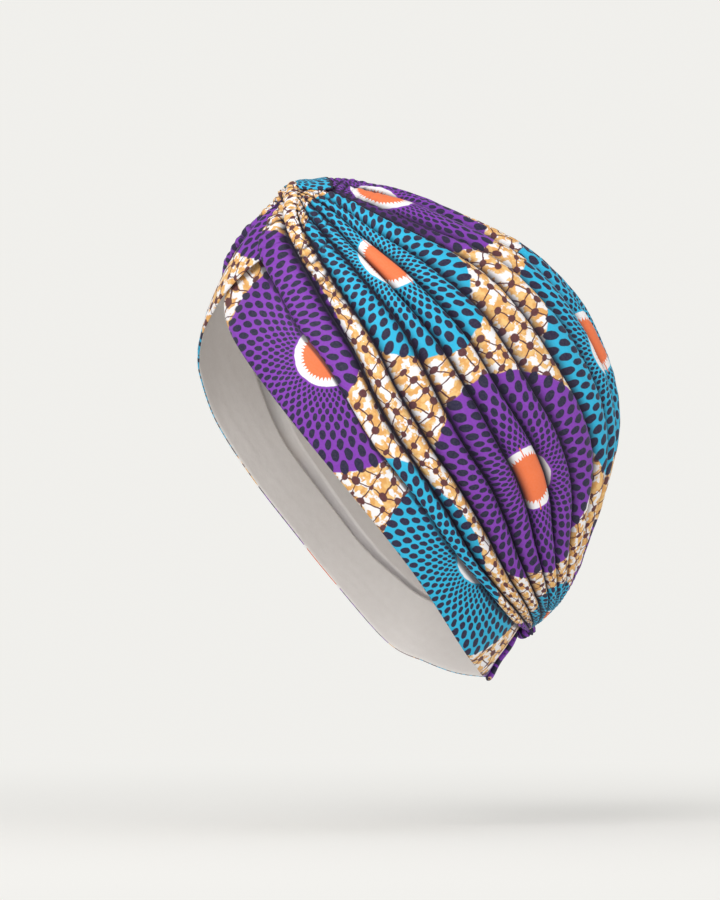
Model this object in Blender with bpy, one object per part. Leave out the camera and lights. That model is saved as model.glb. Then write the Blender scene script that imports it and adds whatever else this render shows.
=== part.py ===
"""A pleated turban in printed stretch cloth, worn shape, as a set of closed cloth walls.

Front is -Y, the wearer's left is +X and up is +Z. The origin is where the crown of a head
carries the turban, on the inside of the top.

Two pleated crown halves meet at a seam over the middle of the head. Their pleats run from a
gather at the top of the forehead to a gather at the nape. A smooth band lies under the first
pleat on each side, down to the hem. At the front the right band crosses over the left one.
"""

import math

import bpy
import numpy as np

MM = 0.001

# Cloth sizes in millimetres.
WALL = 2.0
SEAM_GAP = 0.3
PLEAT_DEPTH = 5.0
DEPTH_TO_WIDTH = 0.40
EDGE_DROP = 0.8
KNOT_RISE = 2.5
KNOT_ROOT = 3.0
NAPE_RISE = 4.0
NAPE_ROOT = 2.5
# Reach of each gathered knob towards the crown, to the side and towards the brow.
FRONT_KNOB = (9.0, 9.2, 5.1)
NAPE_KNOB = (4.6, 6.4, 3.0)

TEAL = (0.05, 0.38, 0.58)
PURPLE = (0.22, 0.05, 0.42)
GOLD = (0.80, 0.55, 0.25)

# The gathers' axis runs from the forehead knot back and down to the nape.
AXIS_TILT = math.radians(29.8)
KNOT_PLACE = np.array([0.0, -30.0, -4.8])
ALONG = np.array([0.0, math.sin(AXIS_TILT), -math.cos(AXIS_TILT)])
ACROSS = np.array([0.0, math.cos(AXIS_TILT), math.sin(AXIS_TILT)])
LEFTWARD = np.array([1.0, 0.0, 0.0])

# Each row is a section square to the axis: its distance from the knot, its reach towards the
# crown, its half width, and its reach towards the brow.
SECTIONS = np.array([
    # along, crown, side, brow
    (0.0, 10.0, 10.0, 6.0),
    (2.5, 20.0, 20.0, 15.0),
    (6.0, 27.5, 29.0, 28.0),
    (10.0, 33.0, 36.0, 38.5),
    (16.0, 40.5, 46.0, 49.5),
    (24.0, 49.6, 54.0, 59.0),
    (35.0, 60.5, 62.0, 70.0),
    (45.0, 68.5, 68.5, 80.0),
    (60.0, 80.4, 76.0, 92.0),
    (90.0, 101.0, 86.0, 108.0),
    (120.0, 111.5, 91.0, 114.0),
    (150.0, 113.0, 92.0, 114.0),
    (175.0, 108.5, 90.0, 113.0),
    (200.0, 96.5, 84.5, 115.0),
    (223.0, 74.2, 76.0, 112.0),
    (243.5, 49.4, 64.0, 100.0),
    (255.0, 36.0, 52.0, 80.0),
    (264.0, 21.5, 34.0, 46.0),
    (268.5, 11.0, 18.0, 20.0),
    (270.5, 6.0, 8.0, 7.0),
])

# Each row is the crease where a pleat starts, as its turn round the axis in degrees from the
# middle seam at stations along it, and how far the pleat rises as a share of the full depth.
CREASE_STATIONS = np.array([0.0, 16.0, 60.0, 133.0, 200.0, 243.0, 270.5])
PLEATS = [
    # name, turn at each station, rise
    ("first", (166.0, 146.0, 124.2, 116.5, 110.0, 104.8, 104.0), 1.00),
    ("strip", (128.0, 121.3, 111.9, 110.2, 106.0, 101.8, 100.0), 0.85),
    ("cheek", (114.0, 110.7, 105.1, 103.6, 100.2, 97.9, 96.0), 0.95),
    ("ear", (104.0, 101.5, 95.0, 94.7, 93.2, 93.2, 90.0), 0.90),
    ("temple", (95.0, 94.2, 88.8, 86.3, 85.5, 87.5, 83.0), 1.00),
    ("side", (86.0, 85.9, 79.5, 78.2, 75.9, 77.5, 74.0), 0.95),
    ("shoulder", (78.0, 78.0, 69.7, 68.2, 65.4, 66.0, 64.0), 1.00),
    ("upper", (70.0, 71.0, 58.0, 55.4, 51.4, 54.0, 53.0), 1.00),
    ("back", (56.0, 55.5, 39.8, 42.3, 38.9, 41.0, 42.0), 0.95),
    ("top_outer", (43.0, 43.0, 29.0, 32.4, 29.0, 31.0, 32.0), 1.00),
    ("top_middle", (30.0, 30.0, 19.0, 21.0, 19.0, 21.0, 22.0), 0.95),
    ("top_inner", (15.0, 15.0, 9.0, 10.0, 9.5, 10.5, 11.0), 0.90),
    ("seam", (0.0, 0.0, 0.0, 0.0, 0.0, 0.0, 0.0), 0.0),
]

# Each row joins a point of the hem to the place along the axis where the band goes in under
# the first pleat. The turn is past the first crease, away from the crown. The hem is given in
# the axis frame: along, towards the crown, to the side. The swell is how far the cloth stands
# out from the straight line between the two, and the depth is how far it lies under the form.
LEFT_BAND = np.array([
    # tuck, turn, along, crownward, side, swell, depth
    (10.0, -8.0, 35.0, -64.2, 1.0, 1.0, 9.0),
    (17.0, -8.5, 38.4, -69.7, 12.0, 2.0, 8.6),
    (26.0, -7.5, 46.7, -77.8, 34.0, 3.0, 7.0),
    (46.0, -5.0, 67.2, -79.9, 47.0, 2.8, 4.6),
    (78.0, -4.0, 95.7, -79.5, 62.0, 1.8, 4.4),
    (120.0, -2.8, 133.7, -74.4, 70.0, 1.2, 4.2),
    (164.0, -2.0, 173.6, -67.2, 72.0, 0.8, 4.2),
    (200.0, -1.6, 206.5, -61.5, 70.0, 0.8, 4.2),
    (236.0, -1.2, 249.4, -54.3, 58.0, 1.2, 4.9),
    (258.0, -1.5, 266.3, -46.2, 38.0, 1.5, 4.5),
    (267.0, 8.0, 276.5, -39.5, 20.0, 1.5, 3.6),
    (270.2, 74.0, 282.6, -31.9, 0.3, 0.3, 1.6),
])
# The right band seen in a mirror. Its first rows are the end that crosses over the brow.
RIGHT_BAND = np.array([
    # tuck, turn, along, crownward, side, swell, depth
    (2.0, 44.0, 17.8, -37.3, -24.7, -0.5, 5.4),
    (1.6, 32.0, 21.3, -50.5, -16.5, 2.0, 4.4),
    (1.2, 17.0, 28.1, -62.0, -3.0, 5.5, 2.2),
    (1.2, 5.0, 35.8, -68.9, 10.0, 6.0, 2.2),
    (2.0, -4.0, 43.0, -74.7, 20.0, 5.5, 3.4),
    (6.0, -6.0, 51.5, -78.0, 30.0, 4.5, 4.4),
    (17.0, -8.0, 56.9, -78.4, 38.0, 3.6, 4.9),
    (34.0, -6.5, 67.2, -79.8, 47.0, 2.9, 4.9),
    (78.0, -4.0, 95.7, -79.5, 62.0, 1.8, 4.4),
    (120.0, -2.8, 133.7, -74.4, 70.0, 1.2, 4.2),
    (164.0, -2.0, 173.6, -67.2, 72.0, 0.8, 4.2),
    (200.0, -1.6, 206.5, -61.5, 70.0, 0.8, 4.2),
    (236.0, -1.2, 249.4, -54.3, 58.0, 1.2, 4.9),
    (258.0, -1.5, 266.3, -46.2, 38.0, 1.5, 4.5),
    (267.0, 8.0, 276.5, -39.5, 20.0, 1.5, 3.6),
    (270.2, 74.0, 282.6, -31.9, 0.3, 0.3, 1.6),
])

CROWN_ROWS = 24
PLEAT_SPLITS = (0.0, 0.22, 0.5, 0.78)
# How boxy a pleat's section is: 2 is an ellipse.
PLEAT_POWER = 2.4
# The first pleat is flat up to this share of its width, then falls into the next crease.
FIRST_FLAT = 0.45
FIRST_POWER = 2.2
# How far the rows are drawn towards both ends, where the form closes quickly.
ROW_EASE = 0.55
BAND_ROWS = 24
BAND_COLUMNS = 5
# Past this place along the axis the bands of the two sides meet at the middle.
NAPE_START = 230.0
KNOB_SPOKES = 20
KNOB_RINGS = 4
KNOB_RIB = 0.06
KNOB_ROOT_SHARE = 0.8
SHARP_ANGLE = math.radians(50.0)
CLOTH_ROUGHNESS = 0.75


def hermite(xs, ys, at):
    """A smooth curve through the points (xs, ys), read at the places in at."""
    xs = np.asarray(xs, float)
    ys = np.asarray(ys, float)
    at = np.clip(at, xs[0], xs[-1])
    steps = np.diff(xs)
    rises = np.diff(ys) / steps
    slopes = np.empty(len(xs))
    slopes[1:-1] = (rises[:-1] * steps[1:] + rises[1:] * steps[:-1]) / (steps[:-1] + steps[1:])
    slopes[0] = rises[0]
    slopes[-1] = rises[-1]
    i = np.clip(np.searchsorted(xs, at, side="right") - 1, 0, len(xs) - 2)
    h = steps[i]
    u = (at - xs[i]) / h
    return (
        ys[i] * (1 + 2 * u) * (1 - u) ** 2
        + slopes[i] * h * u * (1 - u) ** 2
        + ys[i + 1] * u**2 * (3 - 2 * u)
        + slopes[i + 1] * h * u**2 * (u - 1)
    )


def in_frame(along, crownward, side):
    """World millimetres of points given in the axis frame."""
    along, crownward, side = np.broadcast_arrays(along, crownward, side)
    return (
        KNOT_PLACE
        + along[..., None] * ALONG
        + crownward[..., None] * ACROSS
        + side[..., None] * LEFTWARD
    )


def form(along, turn):
    """The soft form that the pleat tops follow, at a turn in degrees round the axis."""
    crown = hermite(SECTIONS[:, 0], SECTIONS[:, 1], along)
    side = hermite(SECTIONS[:, 0], SECTIONS[:, 2], along)
    brow = hermite(SECTIONS[:, 0], SECTIONS[:, 3], along)
    angle = np.radians(turn)
    reach = np.where(np.cos(angle) >= 0, crown, brow)
    return in_frame(along, reach * np.cos(angle), side * np.sin(angle))


def form_normal(along, turn):
    """The direction out of the soft form."""
    step = 0.5
    ahead = form(along + step, turn) - form(along - step, turn)
    round_it = form(along, turn - step) - form(along, turn + step)
    normal = np.cross(ahead, round_it)
    return normal / np.maximum(np.linalg.norm(normal, axis=-1, keepdims=True), 1e-9)


def crease_turn(index, along):
    return hermite(CREASE_STATIONS, PLEATS[index][1], along)


def pleat_height(share, is_first):
    """How full the pleat is across its width, from 0 in a crease to 1 on its top."""
    if is_first:
        return 1 - np.clip((share - FIRST_FLAT) / (1 - FIRST_FLAT), 0, 1) ** FIRST_POWER
    return np.sqrt(np.clip(1 - np.abs(2 * share - 1) ** PLEAT_POWER, 0, 1))


def closed_wall(name, outer, inner, colour, flip):
    """One closed wall between two grids of points of the same size."""
    rows, columns = outer.shape[:2]
    points = np.concatenate([outer.reshape(-1, 3), inner.reshape(-1, 3)]) * MM
    second = rows * columns
    faces = []
    for i in range(rows - 1):
        for j in range(columns - 1):
            a = i * columns + j
            b = a + 1
            c = a + columns + 1
            d = a + columns
            faces.append((a, b, c, d))
            faces.append((second + d, second + c, second + b, second + a))
    rim = (
        list(range(columns))
        + [i * columns + columns - 1 for i in range(1, rows)]
        + [(rows - 1) * columns + j for j in range(columns - 2, -1, -1)]
        + [i * columns for i in range(rows - 2, 0, -1)]
    )
    for a, b in zip(rim, rim[1:] + rim[:1]):
        faces.append((b, a, second + a, second + b))
    if flip:
        faces = [face[::-1] for face in faces]
    return solid(name, points, faces, colour)


def solid(name, points, faces, colour):
    mesh = bpy.data.meshes.new(name)
    mesh.from_pydata([tuple(point) for point in points], [], faces)
    mesh.validate()
    mesh.update()
    mesh.shade_smooth()
    mesh.set_sharp_from_angle(angle=SHARP_ANGLE)
    mesh.materials.append(cloth_material(name, colour))
    obj = bpy.data.objects.new(name, mesh)
    bpy.context.scene.collection.objects.link(obj)
    return obj


def cloth_material(name, colour):
    material = bpy.data.materials.new(name)
    material.use_nodes = True
    shader = material.node_tree.nodes["Principled BSDF"]
    shader.inputs["Base Color"].default_value = (*colour, 1.0)
    shader.inputs["Roughness"].default_value = CLOTH_ROUGHNESS
    return material


def eased(count):
    """Places from 0 to 1 that lie closer together at both ends."""
    even = np.linspace(0, 1, count)
    return (1 - ROW_EASE) * even + ROW_EASE * (1 - np.cos(math.pi * even)) / 2


def crown_grids():
    """Outer and inner points of the left crown half, from the first pleat to the seam."""
    along = (eased(CROWN_ROWS) * SECTIONS[-1, 0])[:, None]
    outer = []
    inner = []
    for index in range(len(PLEATS) - 1):
        start = crease_turn(index, along)
        end = crease_turn(index + 1, along)
        width = np.linalg.norm(form(along, start) - form(along, end), axis=-1)
        depth = np.minimum(PLEAT_DEPTH, DEPTH_TO_WIDTH * width)
        splits = PLEAT_SPLITS if index < len(PLEATS) - 2 else PLEAT_SPLITS + (1.0,)
        for share in splits:
            turn = start + share * (end - start)
            drop = depth * (1 - PLEATS[index][2] * pleat_height(share, index == 0))
            if index == 0 and share == 0:
                drop = np.minimum(EDGE_DROP, depth)
            normal = form_normal(along, turn)
            place = form(along, turn)
            outer.append((place - drop[..., None] * normal)[:, 0])
            inner.append((place - (drop + WALL)[..., None] * normal)[:, 0])
    outer = np.stack(outer, axis=1)
    inner = np.stack(inner, axis=1)
    for grid in (outer, inner):
        grid[..., 0] += SEAM_GAP / 2
    return outer, inner


def mirrored(grid):
    return grid * np.array([-1.0, 1.0, 1.0])


def band_grids(table):
    """Outer and inner points of a band, each row from the tucked edge down to the hem."""
    rows = np.linspace(0, len(table) - 1, BAND_ROWS)
    knots = np.arange(len(table))
    tuck, turn, along, crownward, side, swell, depth = (
        hermite(knots, table[:, column], rows) for column in range(7)
    )
    turn = turn + crease_turn(0, tuck)
    top = form(tuck, turn) - depth[:, None] * form_normal(tuck, turn)
    hem = in_frame(along, crownward, side)
    down = hem - top
    out = np.cross(down, np.gradient(0.5 * (top + hem), axis=0))
    out /= np.linalg.norm(out, axis=1, keepdims=True)
    shares = np.linspace(0, 1, BAND_COLUMNS)
    outer = np.stack(
        [
            top + share * down + (4 * share * (1 - share) * swell)[:, None] * out
            for share in shares
        ],
        axis=1,
    )
    normals = np.cross(np.gradient(outer, axis=1), np.gradient(outer, axis=0))
    normals /= np.linalg.norm(normals, axis=2, keepdims=True)
    inner = outer - WALL * normals
    at_nape = tuck > NAPE_START
    for grid in (outer, inner):
        grid[at_nape, :, 0] = np.maximum(grid[at_nape, :, 0], SEAM_GAP / 2)
    return outer, inner


def gathered_knob(name, along, outward, reaches, rise, root, colour):
    """A small ribbed dome of pinched cloth that closes the ring where the pleats end."""
    crown, side, brow = reaches
    rings = np.linspace(0, math.pi / 2, KNOB_RINGS + 1)[:-1]
    spokes = KNOB_SPOKES
    points = []
    for ring in rings:
        for k in range(spokes):
            angle = 2 * math.pi * k / spokes
            rib = 1 - KNOB_RIB * (k % 2)
            reach = crown if math.cos(angle) >= 0 else brow
            across = rib * math.cos(ring) * reach * math.cos(angle)
            beside = rib * math.cos(ring) * side * math.sin(angle)
            points.append((along + outward * rise * math.sin(ring), across, beside))
    points.append((along + outward * rise, 0.0, 0.0))
    top = len(points) - 1
    for k in range(spokes):
        _, across, beside = points[k]
        points.append((along - outward * root, KNOB_ROOT_SHARE * across, KNOB_ROOT_SHARE * beside))
    points.append((along - outward * root, 0.0, 0.0))
    bottom = len(points) - 1
    faces = []
    for k in range(spokes):
        after = (k + 1) % spokes
        for ring in range(len(rings) - 1):
            low = ring * spokes
            high = low + spokes
            faces.append((low + k, low + after, high + after, high + k))
        high = (len(rings) - 1) * spokes
        faces.append((high + k, high + after, top))
        faces.append((top + 1 + k, top + 1 + after, after, k))
        faces.append((top + 1 + after, top + 1 + k, bottom))
    if outward < 0:
        faces = [face[::-1] for face in faces]
    places = in_frame(*np.array(points).T) * MM
    return solid(name, places, faces, colour)


def clear_scene():
    for obj in list(bpy.data.objects):
        bpy.data.objects.remove(obj)


def main():
    clear_scene()
    outer, inner = crown_grids()
    closed_wall("crown_left", outer, inner, TEAL, True)
    closed_wall("crown_right", mirrored(outer), mirrored(inner), TEAL, False)
    outer, inner = band_grids(LEFT_BAND)
    closed_wall("band_left", outer, inner, PURPLE, False)
    outer, inner = band_grids(RIGHT_BAND)
    closed_wall("band_right", mirrored(outer), mirrored(inner), PURPLE, True)
    gathered_knob("front_gather", 0.0, -1, FRONT_KNOB, KNOT_RISE, KNOT_ROOT, GOLD)
    gathered_knob("nape_gather", SECTIONS[-1, 0], 1, NAPE_KNOB, NAPE_RISE, NAPE_ROOT, PURPLE)


main()
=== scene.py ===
"""The looks of the pleated turban: printed stretch cloth in rolled pleats, seen from the side.

The cloth follows the same form as the solids: sections square to an axis that runs from the
gather above the brow to the gather at the nape. Every piece carries a flat map of its cloth, and
one material draws the print on that map: dotted medallions on a square lattice over a marbled
ground with linked dots. The same material paints shade into the creases, darker where a point's
openness is low.
"""

import math

import bpy
import numpy as np
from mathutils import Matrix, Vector, noise


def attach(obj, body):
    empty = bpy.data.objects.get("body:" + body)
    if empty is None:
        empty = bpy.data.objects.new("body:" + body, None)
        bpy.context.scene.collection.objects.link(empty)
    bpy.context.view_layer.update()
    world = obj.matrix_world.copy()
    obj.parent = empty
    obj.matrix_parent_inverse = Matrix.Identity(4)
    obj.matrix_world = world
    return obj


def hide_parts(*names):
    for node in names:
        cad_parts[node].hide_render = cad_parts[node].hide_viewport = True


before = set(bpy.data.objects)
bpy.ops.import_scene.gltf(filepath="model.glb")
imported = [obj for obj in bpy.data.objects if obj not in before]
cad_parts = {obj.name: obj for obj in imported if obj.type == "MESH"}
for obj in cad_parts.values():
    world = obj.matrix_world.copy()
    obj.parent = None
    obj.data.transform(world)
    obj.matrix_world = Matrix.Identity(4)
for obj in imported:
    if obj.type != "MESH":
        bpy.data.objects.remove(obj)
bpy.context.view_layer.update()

MM = 0.001

# The form, in millimetres. Near the knot the creases of four pleats (upper, back, top_outer and
# top_middle) turn a little differently from the creases of the solids.
SEAM_GAP = 0.3
AXIS_TILT = math.radians(29.8)
KNOT_PLACE = np.array([0.0, -30.0, -4.8])
ALONG = np.array([0.0, math.sin(AXIS_TILT), -math.cos(AXIS_TILT)])
ACROSS = np.array([0.0, math.cos(AXIS_TILT), math.sin(AXIS_TILT)])
LEFTWARD = np.array([1.0, 0.0, 0.0])

SECTIONS = np.array([
    # along, crown, side, brow
    (0.0, 10.0, 10.0, 6.0),
    (2.5, 20.0, 20.0, 15.0),
    (6.0, 27.5, 29.0, 28.0),
    (10.0, 33.0, 36.0, 38.5),
    (16.0, 40.5, 46.0, 49.5),
    (24.0, 49.6, 54.0, 59.0),
    (35.0, 60.5, 62.0, 70.0),
    (45.0, 68.5, 68.5, 80.0),
    (60.0, 80.4, 76.0, 92.0),
    (90.0, 101.0, 86.0, 108.0),
    (120.0, 111.5, 91.0, 114.0),
    (150.0, 113.0, 92.0, 114.0),
    (175.0, 108.5, 90.0, 113.0),
    (200.0, 96.5, 84.5, 115.0),
    (223.0, 74.2, 76.0, 112.0),
    (243.5, 49.4, 64.0, 100.0),
    (255.0, 36.0, 52.0, 80.0),
    (264.0, 21.5, 34.0, 46.0),
    (268.5, 11.0, 18.0, 20.0),
    (270.5, 6.0, 8.0, 7.0),
])

# The crease where each pleat starts, in degrees round the axis at stations along it, and how
# high the pleat rises as a share of the full depth.
CREASE_STATIONS = np.array([0.0, 16.0, 60.0, 133.0, 200.0, 243.0, 270.5])
PLEATS = [
    # name, turn at each station, rise
    ("first", (166.0, 146.0, 124.2, 116.5, 110.0, 104.8, 104.0), 1.00),
    ("strip", (128.0, 121.3, 111.9, 110.2, 106.0, 101.8, 100.0), 0.85),
    ("cheek", (114.0, 110.7, 105.1, 103.6, 100.2, 97.9, 96.0), 0.95),
    ("ear", (104.0, 101.5, 95.0, 94.7, 93.2, 93.2, 90.0), 0.90),
    ("temple", (95.0, 94.2, 88.8, 86.3, 85.5, 87.5, 83.0), 1.00),
    ("side", (86.0, 85.9, 79.5, 78.2, 75.9, 77.5, 74.0), 0.95),
    ("shoulder", (78.0, 78.0, 69.7, 68.2, 65.4, 66.0, 64.0), 1.00),
    ("upper", (64.0, 64.5, 55.5, 55.4, 51.4, 54.0, 53.0), 1.00),
    ("back", (57.0, 56.5, 45.5, 43.0, 38.9, 41.0, 42.0), 0.95),
    ("top_outer", (39.0, 35.0, 28.5, 32.0, 29.0, 31.0, 32.0), 1.00),
    ("top_middle", (27.0, 24.0, 18.0, 21.0, 19.0, 21.0, 22.0), 0.95),
    ("top_inner", (15.0, 15.0, 9.0, 10.0, 9.5, 10.5, 11.0), 0.90),
    ("seam", (0.0, 0.0, 0.0, 0.0, 0.0, 0.0, 0.0), 0.0),
]

# The bands, from the place where they go in under the first pleat to the hem. Each row is tuck,
# turn, along, crownward, side, swell and depth. The last rows are the same for both.
BAND_BACK = [
    (78.0, -4.0, 95.7, -79.5, 62.0, 1.8, 4.4),
    (120.0, -2.8, 133.7, -74.4, 70.0, 1.2, 4.2),
    (164.0, -2.0, 173.6, -67.2, 72.0, 0.8, 4.2),
    (200.0, -1.6, 206.5, -61.5, 70.0, 0.8, 4.2),
    (236.0, -1.2, 249.4, -54.3, 58.0, 1.2, 4.9),
    (258.0, -1.5, 266.3, -46.2, 38.0, 1.5, 4.5),
    (267.0, 8.0, 276.5, -39.5, 20.0, 1.5, 3.6),
    (270.2, 74.0, 282.6, -31.9, 0.3, 0.3, 1.6),
]
LEFT_BAND = np.array([
    (10.0, -8.0, 35.0, -64.2, 1.0, 1.0, 9.0),
    (17.0, -8.5, 38.4, -69.7, 12.0, 2.0, 8.6),
    (26.0, -7.5, 46.7, -77.8, 34.0, 3.0, 7.0),
    (46.0, -5.0, 67.2, -79.9, 47.0, 2.8, 4.6),
    *BAND_BACK,
])
RIGHT_BAND = np.array([
    (2.0, 44.0, 17.8, -37.3, -24.7, -0.5, 5.4),
    (1.6, 32.0, 21.3, -50.5, -16.5, 2.0, 4.4),
    (1.2, 17.0, 28.1, -62.0, -3.0, 5.5, 2.2),
    (1.2, 5.0, 35.8, -68.9, 10.0, 6.0, 2.2),
    (2.0, -4.0, 43.0, -74.7, 20.0, 5.5, 3.4),
    (6.0, -6.0, 51.5, -78.0, 30.0, 4.5, 4.4),
    (17.0, -8.0, 56.9, -78.4, 38.0, 3.6, 4.9),
    (34.0, -6.5, 67.2, -79.8, 47.0, 2.9, 4.9),
    *BAND_BACK,
])
# Beside the nape gather the bands reach this much further up inside the crown, this much deeper.
NAPE_LIFT_REACH = (244.0, 266.0)
NAPE_LIFT = 8.5
NAPE_SINK = 1.2
# The crossing end of the right band reaches up under the front gather in the same way, which
# fades out between these rows of its table.
KNOT_LIFT_ROWS = (2.2, 4.6)
KNOT_LIFT = 6.0
KNOT_SINK = 0.6
# Past this place along the axis the bands of the two sides meet at the middle.
NAPE_START = 230.0

# How finely the crown is divided, and how its pleats bulge, in millimetres or shares.
CROWN_ROWS = 400
PLEAT_COLUMNS = 11
ARC_STEPS = 3000
ROW_EASE = 0.55
COLUMN_EASE = 0.65
PLEAT_DEPTH = 7.4
DEPTH_TO_WIDTH = 0.52
PLEAT_POWER = 2.15
MOST_HEIGHT = 1.04
FIRST_FLAT = 0.62
FIRST_POWER = 1.7
# How open the flat part of the first pleat counts for the painted crease shade.
FIRST_OPEN = 0.95
# The free edge of the first pleat is rounded over this share of its width, this far, and is thin.
EDGE_ROUND = 0.12
EDGE_DROP = 2.7
EDGE_WALL = 0.8
INNER_DEPTH = 2.2
# The creases wander by this many degrees over this length, the first one less, and lie still at
# both ends. The pleats swell and sink by this share over the second length.
CREASE_WOBBLE = 0.8
WOBBLE_LENGTH = 33.0
FIRST_WOBBLE = 0.4
STILL_AT_KNOT = (0.0, 14.0)
STILL_AT_NAPE = (250.0, 268.0)
SWELL_SHARE = 0.10
SWELL_LENGTH = 38.0
# Cross wrinkles where the gathers draw the cloth together: how far apart they lie near the nape
# and near the knot, how far they bend along the pleat from its top to its crease, how deep they
# are, how much painted shade darkens their valleys, and where along each pleat they fade out.
NAPE_WRINKLE = 3.9
KNOT_WRINKLE = 5.4
WRINKLE_BEND = 5.0
WRINKLE_DEPTH = 1.25
WRINKLE_SHADE = 0.85
NAPE_WRINKLES = (34.0, 58.0)
KNOT_WRINKLES = {"strip": (66.0, 118.0), "cheek": (44.0, 92.0), "ear": (36.0, 80.0)}
OTHER_KNOT_WRINKLES = (24.0, 58.0)
# How uneven the wrinkles are: strength, width of a pleat in the noise, its size and its seed.
WRINKLE_SHIFT = (1.8, 9.0, 9.0, 0)
WRINKLE_SPREAD = (0.6, 5.0, 6.0, 60)
WRINKLE_LEVEL = 0.75
WRINKLE_MOST = 1.2
RUMPLE = (1.0, 6.0, 8.0, 31)
RUMPLE_DEPTH = 0.35
RUMPLE_AT_KNOT = 1.2

BAND_ROWS = 220
BAND_COLUMNS = 27
BAND_WALL = 1.8
# The painted shadow of the first pleat on the band fades out between these places past the fold.
BAND_SHADE = (-0.3, 1.5)
# The openness where that painted shadow is darkest.
BAND_DARKEST = 0.4
# Soft hollows and drag lines of a band: strength, how much finer they are across, and size.
BAND_SOFT = (0.35, 1.0, 26.0)
BAND_DRAG = (0.25, 4.0, 17.0)
# The hem rolls in over the last share of the band's width, and the wall thins there.
HEM_ROLL = 0.8
HEM_ROLL_START = 0.93
HEM_THINNING = 0.6
HEM_THIN_START = 0.95

GATHER_RINGS = 26
GATHER_SPOKES = 132
GATHER_FOLDS = 11
GATHER_RIDGE = 1.3
GATHER_SWIRL = 0.9
GATHER_TWIST = 1.3
GATHER_ROUND = 0.8
GATHER_SWELL = 0.05
GATHER_CRUMPLE = 0.5
CRUMPLE_SIZE = 2.6
# Painted shade in the gather's folds: how open the bottom of a fold looks, and how much more its
# top.
GATHER_OPEN = (0.25, 0.95)
GATHER_PIT = 0.55
PIT_START = 0.72
GATHER_FOOT = 0.86
# Place along the axis; direction; reach towards the crown, the side and the brow; rise; root.
FRONT_GATHER = (0.0, -1, (9.8, 10.0, 6.0), 2.4, 3.0)
NAPE_GATHER = (270.5, 1, (5.6, 7.6, 5.2), 4.2, 2.5)
# The bound edge: its two ends, along and crownward, its half width and half height, how proud it
# stands, and how much deeper it starts.
TAPE_ENDS = ((270.0, -4.0), (283.6, -32.6))
TAPE_ROWS = 60
TAPE_SIDES = 24
TAPE_HALF_WIDTH = 3.5
TAPE_HALF_HEIGHT = 2.1
TAPE_PROUD = 0.4
TAPE_SINK = 1.6
# It ripples in and out and sways from side to side this far.
TAPE_RIPPLE = 0.6
TAPE_SWAY = 0.5

# The print, in millimetres of cloth.
PERIOD = 138.0
MEDALLION_RADIUS = 60.0
# The part of the print that each gather shows: its middle and its cloth to a millimetre.
FRONT_PATCH = (np.array([69.0, 69.0]), 1.3)
NAPE_PATCH = (np.array([0.0, 40.0]), 1.2)
TAPE_PATCH = (np.array([10.0, 36.0]), 1.2)
# On the wearer's right the first pleat shows the print this much further along.
RIGHT_FIRST_SHIFT = 163.0
# Where the two halves meet, measured across the cloth from the first row of medallions.
SEAM_ACROSS = 338.0
# Each row says which part of the cloth a pleat shows: its two edges across the cloth near the
# knot and near the nape, and where the two rows of medallions lie, measured along the line from
# the knot to the nape as the camera sees it.
PLEAT_PRINT = {
    # name: left and right at the knot, left and right at the nape, knot row, nape row
    "first": (28.0, 42.0, 34.0, 48.0, 55.0, 203.5),
    "strip": (56.0, 72.0, 51.0, 67.0, 59.0, 201.0),
    "cheek": (93.0, 108.0, 93.0, 108.0, 58.0, 198.0),
    "ear": (116.0, 127.0, 110.0, 120.0, 58.0, 194.5),
    "temple": (129.0, 142.0, 132.0, 148.0, 58.0, 195.7),
    "side": (155.0, 170.0, 152.0, 168.0, 57.0, 195.7),
    "shoulder": (179.0, 197.0, 176.0, 196.0, 52.0, 190.0),
    "upper": (232.0, 245.0, 222.0, 240.0, 32.0, 172.0),
    "back": (260.0, 284.0, 250.0, 262.0, 24.0, 158.0),
    "top_outer": (288.0, 300.0, 268.0, 284.0, 20.0, 146.0),
    "top_middle": (302.0, 312.0, 292.0, 308.0, 15.0, 135.0),
    "top_inner": (316.0, 330.0, 316.0, 330.0, 10.0, 128.0),
}
KNOT_STATION = 60.0
NAPE_STATION = 200.0
# The gathers draw the cloth together along the pleats too: this much spare cloth over this reach.
BUNCH_REACH = 95.0
BUNCH_EXTRA = 80.0
KNOT_REACH = 45.0
KNOT_EXTRA = 11.0
# These pleats are drawn together near the nape alone.
PLAIN_AT_KNOT = ("ear", "temple", "side", "shoulder")
# Beside the knot they show cloth that lies this share nearer the middle of their medallion.
KNOT_PULL = 0.45
# The pleat that lies low beside the knot, and its height there.
LOW_PLEAT = "upper"
LOW_HEIGHT = 0.5
LOW_REACH = (38.0, 76.0)
# Beside the knot the pull fades out over this reach. Past the edges of a pleat its cloth runs on
# by this share of its width.
PULL_REACH = (0.0, 50.0)
EDGE_SPILL = 0.12

# The flap that comes out of the knot and lies over the ends of the upper pleats: its profile from
# the knot to its frayed edge, and half its width in degrees round the axis at each place.
FLAP_PROFILE = np.array([
    # along, crown, side, half width
    (-3.9, 1.5, 1.5, 86.0),
    (-3.5, 6.0, 6.0, 84.0),
    (-2.5, 9.8, 10.2, 81.0),
    (-0.6, 12.8, 13.4, 78.0),
    (1.2, 17.6, 17.8, 74.0),
    (2.6, 21.4, 21.6, 71.0),
    (4.4, 25.8, 26.4, 67.0),
    (6.2, 29.0, 30.6, 63.0),
])
FLAP_ROWS = 40
FLAP_COLUMNS = 72
FLAP_MIDDLE_END = 4.9
FLAP_SIDE_END = 7.0
FLAP_WALL = 0.8
# The flap faces away from the first place on the axis. Each part of the strip beside it faces
# away from the place on the axis that lies the second length further along.
FLAP_INSIDE = 40.0
ROLL_INSIDE = 22.0
# Depth, width and seed of the coarse and the fine fray at the flap's edge.
FLAP_FRAY = ((0.22, 1.6, 5), (0.12, 0.6, 6))
FRAY_SPAN = 40.0
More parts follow.
